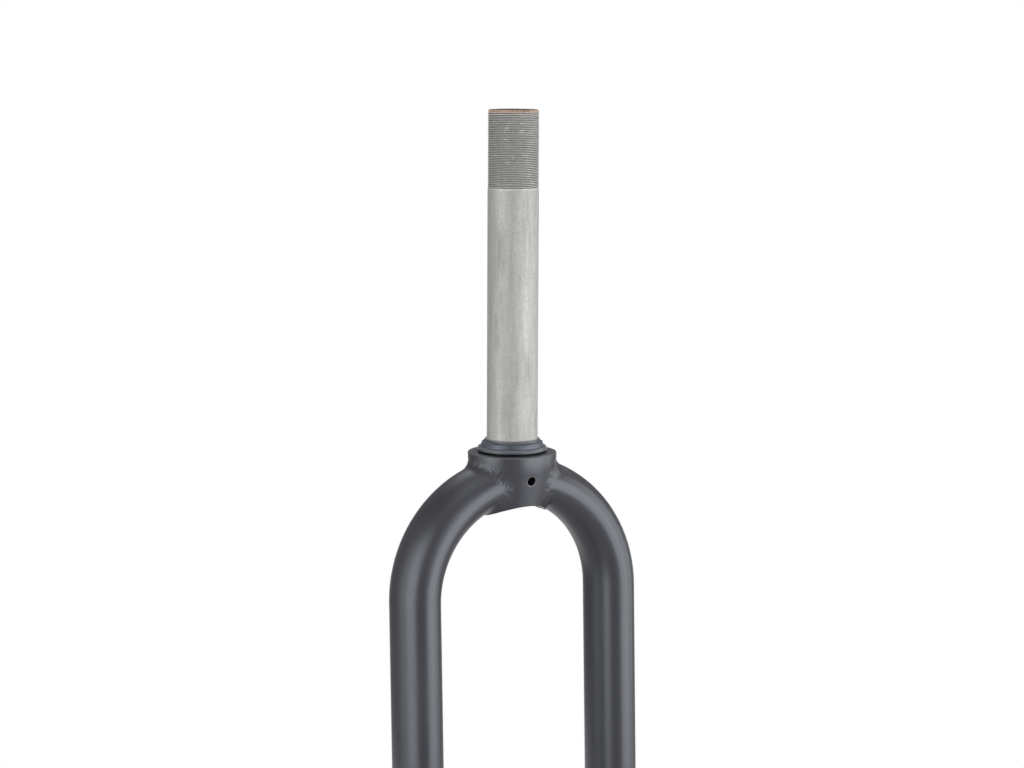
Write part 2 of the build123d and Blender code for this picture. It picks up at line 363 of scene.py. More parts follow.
def bar_along_y(rings):
    """Points and faces of a bar along Y from rings of points, closed at both ends."""
    count = len(rings[0])
    points = [p for ring in rings for p in ring]
    faces = [tuple(range(count)), tuple(range(len(points) - count, len(points)))]
    for k in range(len(rings) - 1):
        a, b = k * count, (k + 1) * count
        for j in range(count):
            i = (j + 1) % count
            faces.append((a + j, a + i, b + i, b + j))
    return points, faces


def ring_about_y(y, z, r, columns):
    """A ring of points round an axis along Y, at a height."""
    turns = [tau * j / columns for j in range(columns)]
    return [Vector((r * cos(turn), y, z + r * sin(turn))) for turn in turns]


# Materials


def add_node(tree, kind, inputs=None, **settings):
    """A new node, with its settings and its inputs set or linked."""
    made = tree.nodes.new(kind)
    for key, value in settings.items():
        setattr(made, key, value)
    for key, value in (inputs or {}).items():
        if isinstance(value, bpy.types.NodeSocket):
            tree.links.new(value, made.inputs[key])
        else:
            made.inputs[key].default_value = value
    return made


def new_material(name):
    """A material with a plain principled shader, and the coordinates of the fork's frame."""
    material = bpy.data.materials.new(name)
    material.use_nodes = True
    tree = material.node_tree
    tree.nodes.clear()
    shader = add_node(tree, "ShaderNodeBsdfPrincipled")
    add_node(tree, "ShaderNodeOutputMaterial", {"Surface": shader.outputs["BSDF"]})
    where = add_node(tree, "ShaderNodeTexCoord").outputs["Object"]
    return material, tree, shader, where


def axes(tree, where):
    """The x, y and z of a place or direction."""
    return add_node(tree, "ShaderNodeSeparateXYZ", {0: where}).outputs


def grain(tree, where, per_metre, detail, roughness=0.5, stretch=(1, 1, 1)):
    """Noise from 0 to 1 with so many features to the metre along each axis."""
    scaled = add_node(tree, "ShaderNodeVectorMath", {0: where, 1: stretch}, operation="MULTIPLY")
    inputs = {
        "Vector": scaled.outputs[0],
        "Scale": per_metre,
        "Detail": detail,
        "Roughness": roughness,
    }
    return add_node(tree, "ShaderNodeTexNoise", inputs).outputs["Fac"]


def spread(tree, value, low, high, to_low, to_high):
    """A value carried from one range to another."""
    inputs = {
        "Value": value,
        "From Min": low,
        "From Max": high,
        "To Min": to_low,
        "To Max": to_high,
    }
    return add_node(tree, "ShaderNodeMapRange", inputs).outputs["Result"]


def above(tree, value, low, high):
    """1 over a range and 0 under it."""
    return spread(tree, value, low, high, 0, 1)


def below(tree, value, low, high):
    """1 under a range and 0 over it."""
    return spread(tree, value, low, high, 1, 0)


def maths(tree, operation, first, second=0.0):
    """The result of a sum on two values."""
    return add_node(tree, "ShaderNodeMath", {0: first, 1: second}, operation=operation).outputs[0]


def product(tree, first, second):
    """Two values multiplied."""
    return maths(tree, "MULTIPLY", first, second)


def distance(tree, first, second):
    """How far two offsets at right angles reach together."""
    squares = maths(tree, "ADD", product(tree, first, first), product(tree, second, second))
    return maths(tree, "SQRT", squares)


def blend(tree, factor, first, second):
    """A colour between two. The node's colours are its inputs 6 and 7, and its output 2."""
    inputs = {0: factor, 6: first, 7: second}
    return add_node(tree, "ShaderNodeMix", inputs, data_type="RGBA").outputs[2]


def bump(tree, height, depth, strength, normal=None):
    """Surface relief from a height between 0 and 1."""
    inputs = {"Height": height, "Distance": depth, "Strength": strength}
    if normal:
        inputs["Normal"] = normal
    return add_node(tree, "ShaderNodeBump", inputs).outputs["Normal"]


def paint_material():
    """Charcoal powder coat: matte, with a fine cured grain and slight unevenness."""
    material, tree, shader, where = new_material("frame_paint")
    x, y, z = axes(tree, where)
    cloud = grain(tree, where, per_metre=30, detail=4)
    speckle = grain(tree, where, per_metre=2600, detail=2)
    peel = grain(tree, where, per_metre=750, detail=2)
    base = blend(tree, above(tree, cloud, *MID_NOISE), PAINT_DEEP, PAINT_PALE)
    base = blend(tree, spread(tree, speckle, 0.62, 0.8, 0, 0.5), base, PAINT_SPECK)
    # A painted highlight lightens the bolt hole's edge, and painted shade makes the hole black
    # inside
    off = distance(tree, x, maths(tree, "ADD", z, BOLT_HOLE_DROP))
    painted_hole_edge = product(
        tree,
        below(tree, off, BOLT_HOLE_FLARE - 0.05 * MM, BOLT_HOLE_FLARE + 0.1 * MM),
        above(tree, off, BOLT_HOLE_R - 0.05 * MM, BOLT_HOLE_R + 0.1 * MM),
    )
    base = blend(tree, product(tree, painted_hole_edge, 0.7), base, PAINT_HOLE_HIGHLIGHT)
    painted_hole_shade = below(tree, off, BOLT_HOLE_R + 0.02 * MM, BOLT_HOLE_R + 0.12 * MM)
    base = blend(tree, painted_hole_shade, base, BLACK)
    # Painted shade: the crown's top goes black under the seal, and a painted highlight lightens the
    # crown's rim
    out = distance(tree, x, y)
    painted_seal_shade = product(
        tree,
        below(tree, out, SEAL_R - 0.3 * MM, SEAL_R + 0.3 * MM),
        above(tree, z, -0.3 * MM, -0.1 * MM),
    )
    base = blend(tree, painted_seal_shade, base, BLACK)
    # Painted highlight: a lighter line along the crown's rounded rim
    rim = product(
        tree,
        above(tree, out, CROWN_R - 0.7 * MM, CROWN_R - 0.3 * MM),
        above(tree, z, -0.9 * MM, -0.5 * MM),
    )
    base = blend(tree, product(tree, rim, 0.32), base, PAINT_RIM_HIGHLIGHT)
    tree.links.new(base, shader.inputs["Base Color"])
    uneven = spread(tree, cloud, *MID_NOISE, 0.35, 0.39)
    matte = maths(tree, "ADD", uneven, spread(tree, peel, *MID_NOISE, -0.03, 0.03))
    tree.links.new(matte, shader.inputs["Roughness"])
    relief = bump(tree, peel, depth=0.05 * MM, strength=0.35)
    relief = bump(tree, speckle, depth=0.02 * MM, strength=0.3, normal=relief)
    tree.links.new(relief, shader.inputs["Normal"])
    shader.inputs["Specular IOR Level"].default_value = 0.9
    shader.inputs["Specular Tint"].default_value = PAINT_GLOSS
    return material


def steel_material():
    """Bare drawn tube: dull, streaked and blotched, rusty at the rim, with painted shade in the
    thread's roots and painted glints on its crests.
    """
    material, tree, shader, where = new_material("bare_steel")
    x, y, z = axes(tree, where)
    out = distance(tree, x, y)
    streak = grain(tree, where, per_metre=330, detail=4, roughness=0.6, stretch=(1, 1, 0.035))
    blotch = grain(tree, where, per_metre=120, detail=5, roughness=0.62, stretch=(1, 1, 0.28))
    hatch = grain(tree, where, per_metre=800, detail=4, roughness=0.65, stretch=(1, 1, 0.07))
    pits = grain(tree, where, per_metre=1500, detail=3, roughness=0.6, stretch=(1, 1, 0.55))
    base = blend(tree, above(tree, streak, 0.36, 0.64), STEEL_DEEP, STEEL_PALE)
    base = blend(tree, spread(tree, blotch, 0.46, 0.66, 0, 0.85), base, STEEL_BLOTCH)
    base = blend(tree, spread(tree, hatch, 0.40, 0.62, 0, 0.7), base, STEEL_HATCH)
    base = blend(tree, spread(tree, pits, 0.47, 0.64, 0, 0.5), base, STEEL_PIT)
    # Painted shade darkens the thread's roots, and painted highlights lighten its crests in spots
    # and along the first crest under the rim
    bore_edge = (BORE_R + 0.2 * MM, BORE_R + 0.5 * MM)
    root = below(tree, out, STEERER_R - 0.42 * MM, STEERER_R - 0.12 * MM)
    threaded = above(tree, z, THREAD_FOOT - 0.2 * MM, THREAD_FOOT + 0.2 * MM)
    painted_root_shade = product(tree, product(tree, root, threaded), above(tree, out, *bore_edge))
    base = blend(tree, product(tree, painted_root_shade, 0.85), base, STEEL_ROOT_SHADE)
    wear_and_glints = grain(tree, where, per_metre=330, detail=2, stretch=(1, 1, 1.6))
    first = maths(tree, "ABSOLUTE", maths(tree, "SUBTRACT", z, FIRST_CREST))
    painted_crest_glints = maths(
        tree,
        "MAXIMUM",
        above(tree, wear_and_glints, 0.61, 0.65),
        spread(tree, first, 0.25 * MM, 0.55 * MM, 0.9, 0.3),
    )
    tops = above(tree, out, STEERER_R - 0.2 * MM, STEERER_R - 0.05 * MM)
    crest = product(tree, tops, threaded)
    base = blend(tree, product(tree, painted_crest_glints, crest), base, STEEL_GLINT)
    # Rust on the cut rim and down inside the bore
    rim = above(tree, z, STEERER_TOP - 1.7 * MM, STEERER_TOP - 1.2 * MM)
    patches = grain(tree, where, per_metre=260, detail=4)
    rust = product(tree, rim, spread(tree, patches, 0.38, 0.6, 0.15, 1))
    base = blend(tree, product(tree, rust, 0.8), base, STEEL_RUST)
    bore = below(tree, out, *bore_edge)
    base = blend(tree, product(tree, bore, 0.8), base, STEEL_BORE)
    tree.links.new(base, shader.inputs["Base Color"])
    uneven = spread(tree, blotch, 0.4, 0.66, 0.52, 0.66)
    dull = maths(tree, "ADD", uneven, product(tree, rust, 0.2))
    tree.links.new(dull, shader.inputs["Roughness"])
    bright = spread(tree, maths(tree, "MAXIMUM", rust, bore), 0, 1, 0.3, 0.1)
    tree.links.new(bright, shader.inputs["Metallic"])
    relief = bump(tree, pits, depth=0.03 * MM, strength=0.3)
    tree.links.new(relief, shader.inputs["Normal"])
    return material


def race_material():
    """Blackened, ground steel of the lower race, with faint turning marks."""
    material, tree, shader, where = new_material("race_steel")
    z = axes(tree, where)["Z"]
    cloud = grain(tree, where, per_metre=140, detail=4)
    marks = grain(tree, where, per_metre=3000, detail=2, stretch=(0.02, 0.02, 1))
    base = blend(tree, above(tree, cloud, *MID_NOISE), RACE_DEEP, RACE_PALE)
    wear_and_glints = spread(tree, z, RACE_TOP - 1.2 * MM, RACE_TOP, 0, 0.35)
    base = blend(tree, wear_and_glints, base, RACE_WORN)
    # Painted shade: the race goes black below the seal's foot, in the gap under the seal
    painted_gap_shade = below(tree, z, SEAL_FOOT, SEAL_FOOT + 0.3 * MM)
    base = blend(tree, painted_gap_shade, base, BLACK)
    tree.links.new(base, shader.inputs["Base Color"])
    tree.links.new(spread(tree, cloud, *MID_NOISE, 0.36, 0.46), shader.inputs["Roughness"])
    relief = bump(tree, marks, depth=0.01 * MM, strength=0.3)
    tree.links.new(relief, shader.inputs["Normal"])
    shader.inputs["Metallic"].default_value = 0.55
    return material


def rubber_material():
    """Moulded rubber: near black and satin, with a painted highlight on its upper slope."""
    material, tree, shader, where = new_material("seal_rubber")
    z = axes(tree, where)["Z"]
    cloud = grain(tree, where, per_metre=220, detail=5)
    skin = grain(tree, where, per_metre=2400, detail=2)
    base = blend(tree, above(tree, cloud, 0.35, 0.75), RUBBER_DEEP, RUBBER_PALE)
    # Painted highlight: the seal lightens up its upper slope
    painted_seal_highlight = spread(tree, z, SEAL_MIDDLE - 0.5 * MM, SEAL_MIDDLE + 0.1 * MM, 0, 0.6)
    base = blend(tree, painted_seal_highlight, base, RUBBER_HIGHLIGHT)
    tree.links.new(base, shader.inputs["Base Color"])
    tree.links.new(spread(tree, cloud, *MID_NOISE, 0.28, 0.36), shader.inputs["Roughness"])
    relief = bump(tree, skin, depth=0.02 * MM, strength=0.3)
    tree.links.new(relief, shader.inputs["Normal"])
    return material


finishes = {
    "frame_paint": paint_material(),
    "bare_steel": steel_material(),
    "race_steel": race_material(),
    "seal_rubber": rubber_material(),
}
for part in frame["record"]["subparts"]:
    carried = frame["nodes"][part["node"]].data
    carried.materials.clear()
    carried.materials.append(finishes[part["material_slot"]])


# Steerer: a tube with its thread cut as a helix, a keyway down the back and the bolt's hole through
# its foot


def keyway_radius(turn):
    """Radius at which a turn meets the keyway's flat floor."""
    return (STEERER_R - KEYWAY_DEPTH) / cos(turn - KEYWAY_TURN)


def thread_radius(height, share):
    """Radius of the thread at a height, for a share of its depth."""
    fade = min(max((height - THREAD_FOOT) / THREAD_RUNOUT, 0.0), 1.0)
    chamfered = STEERER_R - max(0.0, height - (STEERER_TOP - RIM_CHAMFER))
    return min(STEERER_R - THREAD_DEPTH * share * fade, chamfered)


def steerer_columns():
    """The turns of the tube's columns of points, each with whether it lies in the keyway."""
    half = KEYWAY_WIDTH / 2 / STEERER_R
    room = half + COLUMN_ROOM * tau / TUBE_COLUMNS
    turns = [tau * j / TUBE_COLUMNS for j in range(TUBE_COLUMNS)]
    columns = [(turn, False) for turn in turns if abs(turn - KEYWAY_TURN) > room]
    low, high = KEYWAY_TURN - half, KEYWAY_TURN + half
    first = next(i for i, (turn, _) in enumerate(columns) if turn > KEYWAY_TURN)
    keyway = [(low, False), (low, True), (KEYWAY_TURN, True), (high, True), (high, False)]
    return columns[:first] + keyway + columns[first:]


def steerer_piece():
    columns = steerer_columns()
    count = len(columns)
    profile = len(THREAD_PROFILE)
    laps = int(THREAD_LENGTH / THREAD_PITCH) + 2
    points, grid = [], []
    for turn, keyed in columns:
        column = []
        for i in range(-profile, laps * profile):
            lap, step = divmod(i, profile)
            along, share = THREAD_PROFILE[step]
            height = THREAD_FOOT + THREAD_PITCH * (lap + along + turn / tau)
            height = min(max(height, THREAD_FOOT), STEERER_TOP)
            r = thread_radius(height, share)
            if keyed:
                r = min(r, keyway_radius(turn))
            column.append(len(points))
            points.append(Vector((r * cos(turn), r * sin(turn), height)))
        grid.append(column)
    faces = []
    for j in range(count):
        here, there = grid[j], grid[(j + 1) % count]
        # The helix climbs by one pitch where its columns meet
        skip = profile if j == count - 1 else 0
        for i in range(len(here) - 1 - skip):
            faces.append((here[i], there[i + skip], there[i + skip + 1], here[i + 1]))
    # The rest of the tube's section: rim, bore, foot, race seat and plain tube up to the thread
    start = len(points)
    for turn, keyed in columns:
        flat = keyway_radius(turn) if keyed else STEERER_R
        section = (
            (min(flat, STEERER_R - RIM_CHAMFER), STEERER_TOP),
            (BORE_R + BORE_CHAMFER, STEERER_TOP),
            (BORE_R, STEERER_TOP - BORE_CHAMFER),
            (BORE_R, STEERER_FOOT),
            (SEAT_R, STEERER_FOOT),
            (SEAT_R, SEAT_TOP - SEAT_CHAMFER),
            (SEAT_R - SEAT_CHAMFER, SEAT_TOP),
            (STEERER_R, SEAT_TOP),
            (STEERER_R, THREAD_FOOT),
            (flat, THREAD_FOOT),
        )
        for r, z in section:
            points.append(Vector((r * cos(turn), r * sin(turn), z)))
    rest = len(section)
    for j in range(count):
        a, b = start + j * rest, start + (j + 1) % count * rest
        for i in range(rest - 1):
            faces.append((a + i, b + i, b + i + 1, a + i + 1))
    piece = mesh_piece("steerer", "steerer_tube", "bare_steel", points, faces, STEERER_SHARP)
    ends = (-2 * SEAT_R, 2 * SEAT_R)
    drill = [ring_about_y(y, -BOLT_HOLE_DROP, BOLT_HOLE_R, DRILL_COLUMNS) for y in ends]
    cut_away(piece, "drill", *bar_along_y(drill))


steerer_piece()


# Lower race and its seal, turned with eased edges: radius, height and rounding of each corner

race_corners = (
    (SEAT_R + RACE_LIP, RACE_TOP, 0.15 * MM),
    (SEAT_R, RACE_TOP, 0),
    (SEAT_R, 0, 0),
    (RACE_FOOT_R, 0, 0),
    (RACE_FOOT_R, SEAL_TOP, 0),
    (SEAT_R + RACE_FLANK_FOOT, SEAL_TOP, 0.25 * MM),
    (SEAT_R + RACE_FLANK_TOP, RACE_SHOULDER, 0.2 * MM),
    (SEAT_R + RACE_STEP, RACE_SHOULDER, 0.2 * MM),
    (SEAT_R + RACE_COVE, RACE_SHOULDER + RACE_COVE_RISE, 0.4 * MM),
)
race = turned(rounded(race_corners))
mesh_piece("crown_race", "crown_race", "race_steel", *race, RACE_SHARP)

seal_corners = (
    (RACE_FOOT_R, SEAL_FOOT, 0),
    (SEAL_R, SEAL_FOOT, 0.35 * MM),
    (SEAL_R, SEAL_MIDDLE, 0.5 * MM),
    (SEAL_TOP_R, SEAL_TOP, 0.4 * MM),
    (RACE_FOOT_R, SEAL_TOP, 0),
)
seal = turned(rounded(seal_corners))
mesh_piece("race_seal", "race_seal", "seal_rubber", *seal, SEAL_SHARP)


# Crown: turned with a rounded rim and an eased shoulder, arched under and drilled front to back

crown_corners = (
    (SEAT_R, 0, 0),
    (CROWN_R, 0, CROWN_RIM),
    (CROWN_R, -CROWN_COLLAR, CROWN_SHOULDER),
    (CROWN_FOOT_R, -CROWN_DEPTH, 0),
    (SEAT_R, -CROWN_DEPTH, 0),
)
crown_profile = rounded(crown_corners, CROWN_ROUND_STEPS)
crown_depths, crown_radii = zip(*sorted((-z, r) for r, z in crown_profile[1:-1]))


def crown_radius(height):
    """Radius of the crown's outside at a height."""
    return float(np.interp(-height, crown_depths, crown_radii))


def crown_normal(p):
    """The crown's outward normal beside a point."""
    high, low = crown_radius(p.z + CROWN_SLOPE_REACH), crown_radius(p.z - CROWN_SLOPE_REACH)
    slope = (high - low) / (2 * CROWN_SLOPE_REACH)
    return Vector((p.x, p.y, -slope * hypot(p.x, p.y))).normalized()


def bolt_ring(r, inset):
    """A ring round the bolt hole, set into the crown's front by an inset."""
    ring = []
    for p in ring_about_y(0, -BOLT_HOLE_DROP, r, BOLT_COLUMNS):
        face = sqrt(crown_radius(p.z) ** 2 - p.x**2)
        ring.append(Vector((p.x, inset - face, p.z)))
    return ring


def crown_piece():
    crown = turned(crown_profile, CROWN_COLUMNS)
    piece = mesh_piece("crown", "crown", "frame_paint", *crown, CROWN_SHARP)
    ends = (-2 * CROWN_R, 2 * CROWN_R)
    arch = [ring_about_y(y, ARCH_CENTRE, ARCH_RADIUS, ARCH_COLUMNS) for y in ends]
    cut_away(piece, "arch", *bar_along_y(arch))
    # The drill flares to a rounded edge where it meets the crown's front and back
    front = [bolt_ring(BOLT_HOLE_FLARE + DRILL_PROUD, -DRILL_PROUD)]
    for out, inset in BOLT_HOLE_EDGE:
        front.append(bolt_ring(BOLT_HOLE_R + out * BOLT_HOLE_CHAMFER, inset * BOLT_HOLE_CHAMFER))
    back = [[Vector((p.x, -p.y, p.z)) for p in ring] for ring in reversed(front)]
    cut_away(piece, "drill", *bar_along_y(front + back))
    piece.data.shade_smooth()
    piece.data.set_sharp_from_angle(angle=radians(CROWN_SHARP))


crown_piece()


# Weld beads between legs and crown: concave fillets, rippled across, along the line where the leg
# meets the crown


def last_true(test, start, end):
    """Where a test that holds at the start stops holding on the way to the end."""
    for _ in range(HALVINGS):
        middle = (start + end) / 2
        if test(middle):
            start = middle
        else:
            end = middle
    return start


def leg_point(bend, turn, share=1.0):
    """A point of the left leg's bend, a share of the way from its middle to its oval outside.

    turn goes round the oval, from its outer side towards the front.
    """
    reach = LEG_BEND + LEG_HALF * cos(turn) * share
    flat = LEG_OUT * (BEND_X + reach * cos(bend)) + LEG_UP * (reach * sin(bend) - BEND_DROP)
    return LEG_ORIGIN + flat + LEG_FORWARD * (LEG_REACH * sin(turn) * share)


def joint_point(turn):
    """Where the left leg's outside meets the crown's, with the two surfaces' normals."""

    def outside_crown(bend):
        p = leg_point(bend, turn)
        return hypot(p.x, p.y) >= crown_radius(p.z)

    bend = last_true(outside_crown, BEND_TURN * JOINT_SEARCH, BEND_TURN)
    p = leg_point(bend, turn)
    across = (LEG_OUT * cos(bend) + LEG_UP * sin(bend)) * (cos(turn) / LEG_HALF)
    on_leg = (across + LEG_FORWARD * (sin(turn) / LEG_REACH)).normalized()
    return p, on_leg, crown_normal(p)


def onto_crown(p):
    """The point of the crown's outside level with a point."""
    flat = Vector((p.x, p.y, 0)).normalized() * crown_radius(p.z)
    return Vector((flat.x, flat.y, p.z))


def onto_leg(p):
    """The point of the left leg's outside in line with a point and the leg's middle."""
    local = p - LEG_ORIGIN
    out, up = local.dot(LEG_OUT) - BEND_X, local.dot(LEG_UP) + BEND_DROP
    front = local.dot(LEG_FORWARD)
    middle = leg_point(atan2(up, out), 0, 0)
    across = hypot(out, up) - LEG_BEND
    return middle + (p - middle) / hypot(across / LEG_HALF, front / LEG_REACH)


def above_arch(p):
    """How far a point lies outside the tyre's arch."""
    return hypot(p.x, p.z - ARCH_CENTRE) - ARCH_RADIUS


def clear_of_arch(p):
    """A point, moved out to the tyre's arch where it would hang below it."""
    short = -above_arch(p)
    if short <= 0:
        return p
    axis = Vector((0, p.y, ARCH_CENTRE))
    return p + (p - axis).normalized() * short


def wave(seed, p, per_metre, offset=Vector()):
    """Noise about 0 at a point, with so many features to the metre."""
    return noise.noise(seed + p * per_metre + offset)


def dome(share):
    """1 in the middle of a bead's width, falling to 0 at both its edges."""
    return 4 * share * (1 - share)


def crown_bead(name, side, swell):
    """A weld bead that starts and ends at the tyre's arch.

    side is 1 for the left leg and -1 for the right, and swell is the height of its broad lumps.
    """

    def over_arch(turn):
        return above_arch(joint_point(turn)[0]) > 0

    front_end = last_true(over_arch, pi / 2, pi)
    back_end = last_true(over_arch, 3 * pi / 2, pi) - tau
    span = front_end - back_end
    shares = np.linspace(0, 1, JOINT_SAMPLES + 1)
    line = [joint_point(back_end + span * k / JOINT_SAMPLES)[0] for k in range(JOINT_SAMPLES + 1)]
    lengths = np.cumsum([0.0] + [(b - a).length for a, b in zip(line, line[1:])])
    stations = int(lengths[-1] / BEAD_STEP)
    seed = Vector((BEAD_SEED[0] * side, BEAD_SEED[1], BEAD_SEED[2] * side))
    points, faces = [], []
    for k in range(stations + 1):
        along = lengths[-1] * k / stations
        turn = back_end + span * float(np.interp(along, lengths, shares))
        p, on_leg, on_crown = joint_point(turn)
        ease = min(1.0, min(along, lengths[-1] - along) / BEAD_END_EASE)
        ease = BEAD_END_SHARE + (1 - BEAD_END_SHARE) * ease * (2 - ease)
        wander = wave(seed, p, WANDER_SCALE) * WANDER
        foot = wave(seed, p, FOOT_SCALE, FOOT_OFFSET) * FOOT_SHIFT
        crown_edge = wave(seed, p, EDGE_SCALE) * EDGE_SHIFT
        leg_edge = wave(seed, p, -EDGE_SCALE) * EDGE_SHIFT
        # The ripples show most at the top and on the crown's side, and paint fills them lower down
        drops = (-BEAD_SMOOTH_DROP, -BEAD_RIPPLED_DROP)
        rippled = float(np.interp(p.z, drops, (BEAD_SMOOTH_SHARE, 1.0)))
        rippled *= PATCH_SHARE + PATCH_SHARE * wave(seed, p, PATCH_SCALE)
        along_crown = (on_leg - on_crown * on_leg.dot(on_crown)).normalized()
        along_leg = (on_crown - on_leg * on_leg.dot(on_crown)).normalized()
        crown_toe = onto_crown(p + along_crown * BEAD_ON_CROWN * ease * (1 + foot + crown_edge))
        leg_toe = onto_leg(p + along_leg * BEAD_ON_LEG * ease * (1 - foot + leg_edge))
        outward = (on_leg + on_crown).normalized()
        hollow = p + outward * BEAD_FILL * ease
        for i in range(BEAD_ACROSS + 1):
            s = i / BEAD_ACROSS
            lap = along / BEAD_RIPPLE + wander + BEAD_RIPPLE_BOW * dome(s)
            lump = wave(seed, p, LUMP_SCALE, Vector((0, 0, LUMP_ACROSS * s)))
            broad = wave(seed, p, -SWELL_SCALE, Vector((0, 0, SWELL_ACROSS * s)))
            relief = -cos(tau * lap) * rippled * (1 - s) * BEAD_RIPPLE_HEIGHT
            relief += lump * BEAD_LUMP_HEIGHT + broad * swell
            rise = relief * dome(s) - BEAD_SINK * (1 - dome(s))
            laid = crown_toe * (1 - s) ** 2 + hollow * 2 * s * (1 - s) + leg_toe * s * s
            points.append(clear_of_arch(laid + outward * rise))
        points.append(clear_of_arch(p - outward * BEAD_ROOT))
    ring = BEAD_ACROSS + 2
    for k in range(stations):
        a, b = k * ring, (k + 1) * ring
        for i in range(ring):
            j = (i + 1) % ring
            faces.append((a + i, b + i, b + j, a + j))
    faces.append(tuple(range(ring)))
    faces.append(tuple(stations * ring + i for i in range(ring)))
    for p in points:
        p.x *= side
    mesh_piece(name, name, "frame_paint", points, faces, BEAD_SHARP)


crown_bead("left_crown_weld", 1, LEFT_BEAD_SWELL)
crown_bead("right_crown_weld", -1, RIGHT_BEAD_SWELL)


# Weld beads round the legs' lower ends, and inside the crown under the steerer


def end_bead(name, side):
    """A low rippled band round the joint of leg and dropout."""
    half = END_BEAD_WIDTH / 2
    end = LEG_ORIGIN + LEG_OUT * LEG_X - LEG_UP * LEG_LENGTH
    points, faces = [], []
    along = 0.0
    for k in range(END_BEAD_COLUMNS):
        turn = tau * k / END_BEAD_COLUMNS
        c, s = cos(turn), sin(turn)
        on_leg = end + (LEG_OUT * (LEG_HALF * c) - LEG_FORWARD * (LEG_REACH * s))
        outward = (LEG_OUT * (c / LEG_HALF) - LEG_FORWARD * (s / LEG_REACH)).normalized()
        along += hypot(LEG_HALF * s, LEG_REACH * c) * tau / END_BEAD_COLUMNS
        place = Vector((c * END_BEAD_LUMP_TURNS, s * END_BEAD_LUMP_TURNS, END_BEAD_SEED * side))
        lumps = noise.noise(place) * END_BEAD_LUMPS
        for i in range(END_BEAD_ACROSS + 1):
            share = i / END_BEAD_ACROSS
            lap = along / BEAD_RIPPLE + END_BEAD_RIPPLE_BOW * dome(share)
            ripple = abs(sin(pi * lap)) ** END_BEAD_RIPPLE_POWER - END_BEAD_RIPPLE_MEAN + lumps
            lift = END_BEAD_HEIGHT * dome(share) - END_BEAD_SINK
            lift += END_BEAD_RIPPLE_HEIGHT * sqrt(dome(share)) * ripple
            points.append(on_leg + outward * lift + LEG_UP * (half - 2 * half * share))
        for level in (-half, half):
            points.append(on_leg - outward * END_BEAD_ROOT + LEG_UP * level)
    ring = END_BEAD_ACROSS + 3
    for k in range(END_BEAD_COLUMNS):
        a, b = k * ring, (k + 1) % END_BEAD_COLUMNS * ring
        for i in range(ring):
            j = (i + 1) % ring
            faces.append((a + i, b + i, b + j, a + j))
    for p in points:
        p.x *= side
    mesh_piece(name, name, "frame_paint", points, faces, BEAD_SHARP)


end_bead("left_dropout_weld", 1)
end_bead("right_dropout_weld", -1)


def steerer_bead():
    """A rippled fillet in the crown's bore, under the steerer's foot."""
    inner, outer = BORE_R + STEERER_BEAD_INSET, SEAT_R
    profile = []
    for i in range(STEERER_BEAD_ACROSS + 1):
        share = i / STEERER_BEAD_ACROSS
        drop = STEERER_BEAD_HEIGHT * share
        profile.append((inner + (outer - inner) * share, STEERER_FOOT - drop))
    profile.append((outer, STEERER_FOOT))

    def lift(turn, i):
        share = i / STEERER_BEAD_ACROSS
        if not 0 < share < 1:
            return 0.0
        lap = turn * outer / BEAD_RIPPLE + STEERER_BEAD_RIPPLE_BOW * dome(share)
        return -STEERER_BEAD_RIPPLE_HEIGHT * dome(share) * abs(sin(pi * lap))

    bead = turned(profile, STEERER_BEAD_COLUMNS, lift)
    mesh_piece("steerer_weld", "steerer_weld", "frame_paint", *bead, BEAD_SHARP)


steerer_bead()


# Camera


def place_camera():
    level = Vector((sin(CAMERA_AZIMUTH), -cos(CAMERA_AZIMUTH), 0)) * CAMERA_DISTANCE
    place = level + Vector((0, 0, CAMERA_HEIGHT))
    back = (place - CAMERA_AIM).normalized()
    right = Vector((0, 0, 1)).cross(back).normalized()
    up = back.cross(right)
    tilted = right * cos(CAMERA_ROLL) + up * sin(CAMERA_ROLL)
    upright = up * cos(CAMERA_ROLL) - right * sin(CAMERA_ROLL)
    data = bpy.data.cameras.new("camera")
    data.lens = CAMERA_LENS
    data.sensor_width = CAMERA_SENSOR
    data.sensor_fit = "HORIZONTAL"
    data.clip_start, data.clip_end = CAMERA_CLIP
    camera = bpy.data.objects.new("camera", data)
    turn = Matrix((tilted, upright, back)).transposed().to_4x4()
    camera.matrix_world = Matrix.Translation(place) @ turn
    bpy.context.scene.collection.objects.link(camera)
    bpy.context.scene.camera = camera


place_camera()


# Light: softboxes round the fork, a surround that looks white and a pale floor


def softbox(name, turn, elevation, reach, width, height, radiance):
    """An area light of so much radiance, turned to the camera's right and raised, in degrees."""
    a, e = CAMERA_AZIMUTH + radians(turn), radians(elevation)
    back = Vector((sin(a) * cos(e), -cos(a) * cos(e), sin(e)))
    data = bpy.data.lights.new(name, "AREA")
    data.shape = "RECTANGLE"
    data.size, data.size_y = width, height
    data.energy = radiance * pi * width * height
    lamp = bpy.data.objects.new(name, data)
    lamp.location = LIGHT_AIM + back * reach
    lamp.rotation_mode = "QUATERNION"
    lamp.rotation_quaternion = back.to_track_quat("Z", "Y")
    lamp.visible_camera = False
    bpy.context.scene.collection.objects.link(lamp)


for box_name, box in SOFTBOXES.items():
    softbox(box_name, *box)


def looks_white(tree, mirrored_part):
    """1 for the camera's own rays, and for reflections and glass a part of 1."""
    path = add_node(tree, "ShaderNodeLightPath").outputs
    mirrored = maths(tree, "MAXIMUM", path["Is Glossy Ray"], path["Is Transmission Ray"])
    return maths(tree, "MAXIMUM", path["Is Camera Ray"], product(tree, mirrored, mirrored_part))


def toward_backdrop(tree, where):
    """How far a place or direction lies along the level line from the fork to the backdrop."""
    level = (-sin(CAMERA_AZIMUTH), cos(CAMERA_AZIMUTH), 0)
    made = add_node(tree, "ShaderNodeVectorMath", {0: where, 1: level}, operation="DOT_PRODUCT")
    return made.outputs["Value"]


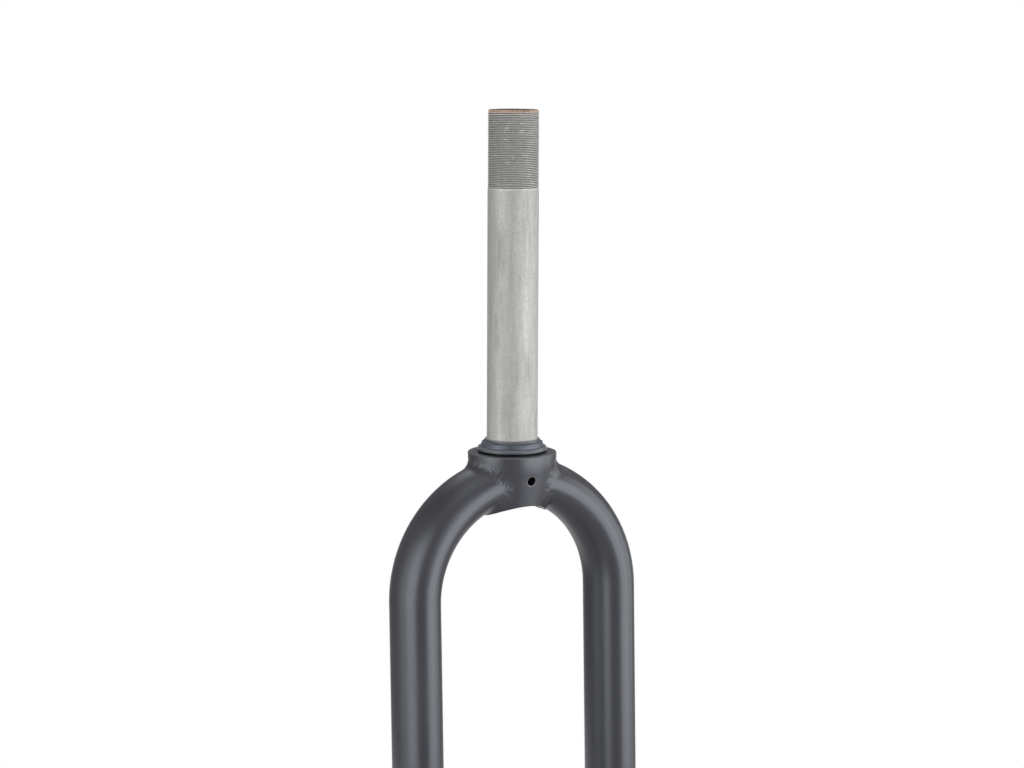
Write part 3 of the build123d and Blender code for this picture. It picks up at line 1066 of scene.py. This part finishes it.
def surround():
    world = bpy.data.worlds.new("surround")
    bpy.context.scene.world = world
    world.use_nodes = True
    tree = world.node_tree
    tree.nodes.clear()
    # A white backdrop stands behind the fork, and the rest of the studio is grey
    toward = add_node(tree, "ShaderNodeTexCoord").outputs["Generated"]
    sideways = above(
        tree,
        toward_backdrop(tree, toward),
        cos(radians(BACKDROP_HALF + BACKDROP_HALF_SOFT)),
        cos(radians(BACKDROP_HALF)),
    )
    low = below(
        tree,
        axes(tree, toward)["Z"],
        sin(radians(BACKDROP_TOP - BACKDROP_TOP_SOFT)),
        sin(radians(BACKDROP_TOP)),
    )
    white = looks_white(tree, product(tree, sideways, low))
    tint = blend(tree, white, STUDIO_GREY, WHITE)
    shade = add_node(tree, "ShaderNodeBackground", {"Color": tint, "Strength": 1.0})
    add_node(tree, "ShaderNodeOutputWorld", {"Surface": shade.outputs[0]})


def floor_material():
    """Pale paper that looks white towards its rim, and keeps the fork's shadow."""
    material = bpy.data.materials.new("floor")
    material.use_nodes = True
    tree = material.node_tree
    tree.nodes.clear()
    where = add_node(tree, "ShaderNodeTexCoord").outputs["Object"]
    fibre = grain(tree, where, per_metre=40, detail=3)
    shade = blend(tree, above(tree, fibre, *MID_NOISE), FLOOR_DEEP, FLOOR_PALE)
    matte = add_node(tree, "ShaderNodeBsdfDiffuse", {"Color": shade})
    glow = add_node(tree, "ShaderNodeEmission", {"Color": WHITE, "Strength": 1.0})
    out = add_node(tree, "ShaderNodeVectorMath", {0: where}, operation="LENGTH").outputs["Value"]
    fade = spread(tree, out, *FLOOR_FADE, *FLOOR_WHITE)
    sweep = above(tree, toward_backdrop(tree, where), *FLOOR_SWEEP)
    share = product(tree, looks_white(tree, sweep), fade)
    inputs = {0: share, 1: matte.outputs[0], 2: glow.outputs[0]}
    both = add_node(tree, "ShaderNodeMixShader", inputs)
    add_node(tree, "ShaderNodeOutputMaterial", {"Surface": both.outputs[0]})
    return material


def floor():
    mesh = bpy.data.meshes.new("floor")
    work = bmesh.new()
    bmesh.ops.create_circle(work, cap_ends=True, segments=FLOOR_COLUMNS, radius=FLOOR_RADIUS)
    work.to_mesh(mesh)
    work.free()
    mesh.materials.append(floor_material())
    ground = bpy.data.objects.new("floor", mesh)
    ground.location.z = cad_low.z
    bpy.context.scene.collection.objects.link(ground)


surround()
floor()
bpy.context.scene.view_settings.view_transform = "Standard"
